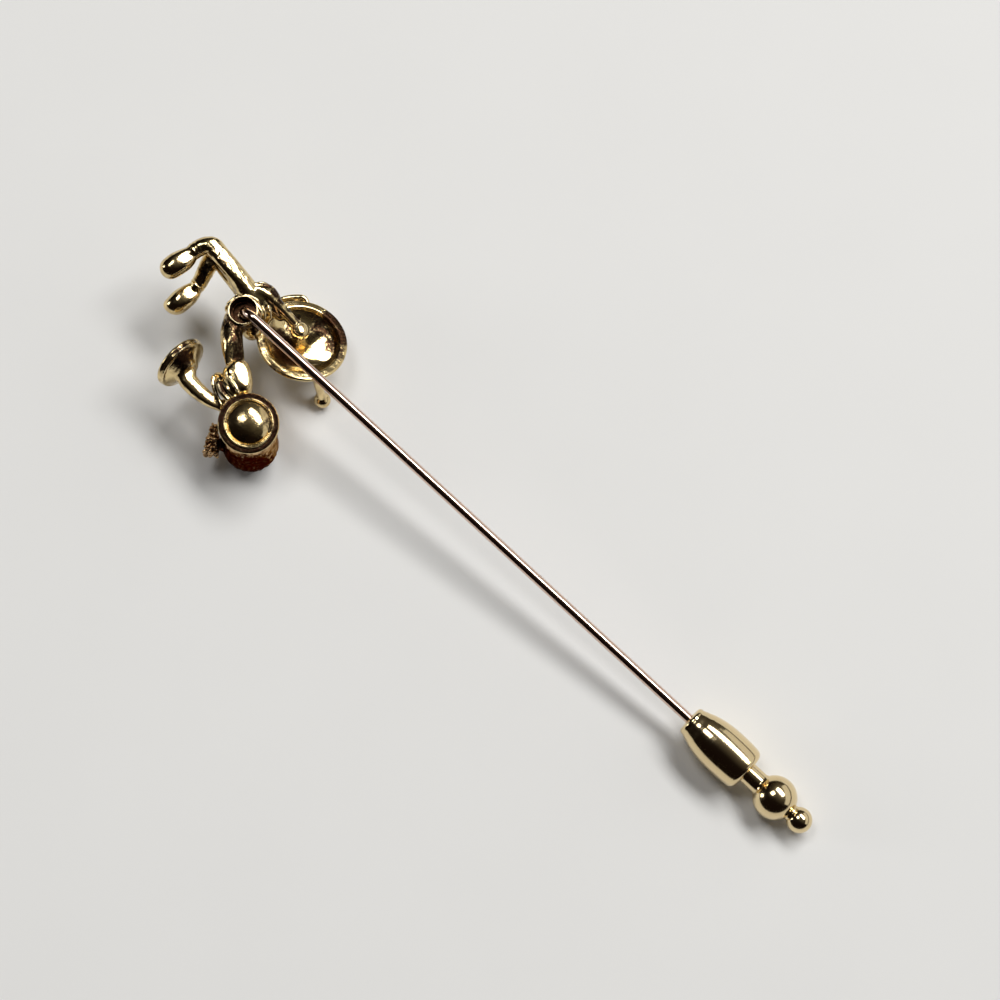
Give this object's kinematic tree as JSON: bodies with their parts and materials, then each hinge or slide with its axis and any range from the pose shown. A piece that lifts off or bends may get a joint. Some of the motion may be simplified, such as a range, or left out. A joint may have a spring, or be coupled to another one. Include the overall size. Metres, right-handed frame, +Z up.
{
  "type": "stick pin",
  "caption": "Small cast tumbling figure with a horn, a dish and a round hat, on a long straight wire stick whose point is held in a sprung ball clutch that pulls off.",
  "frame": {"origin": "on the table that the pin lies on, under the middle of the whole pin's box", "axes": "+X along the stick in plan, from the figure to the clutch; +Z up from the table, away from the hidden front of the figure; +Y to the side on which the dish and the boots lie"},
  "size_m": [0.0766, 0.0175, 0.0089],
  "materials": {
    "cast_gold_tone": "polished gold-tone casting with dark hollows",
    "stick_wire": "drawn wire with a rosy gold-tone plating",
    "clutch_gold_tone": "turned and polished gold-tone plating"
  },
  "bodies": {
    "pin": {"figure": "cast_gold_tone", "stick": "stick_wire"},
    "clutch": {"clutch_barrel": "clutch_gold_tone"},
    "plunger": {"clutch_plunger": "clutch_gold_tone"}
  },
  "joints": [
    {"name": "clutch_slide", "type": "slide", "parent": "pin", "child": "clutch", "axis": [0.9948, 0, -0.1015], "range_m": [0, 0.012]},
    {"name": "plunger_pull", "type": "slide", "parent": "clutch", "child": "plunger", "axis": [0.9948, 0, -0.1015], "range_m": [0, 0.001], "stiffness_N_per_m": 1000, "springref_m": -0.001}
  ]
}
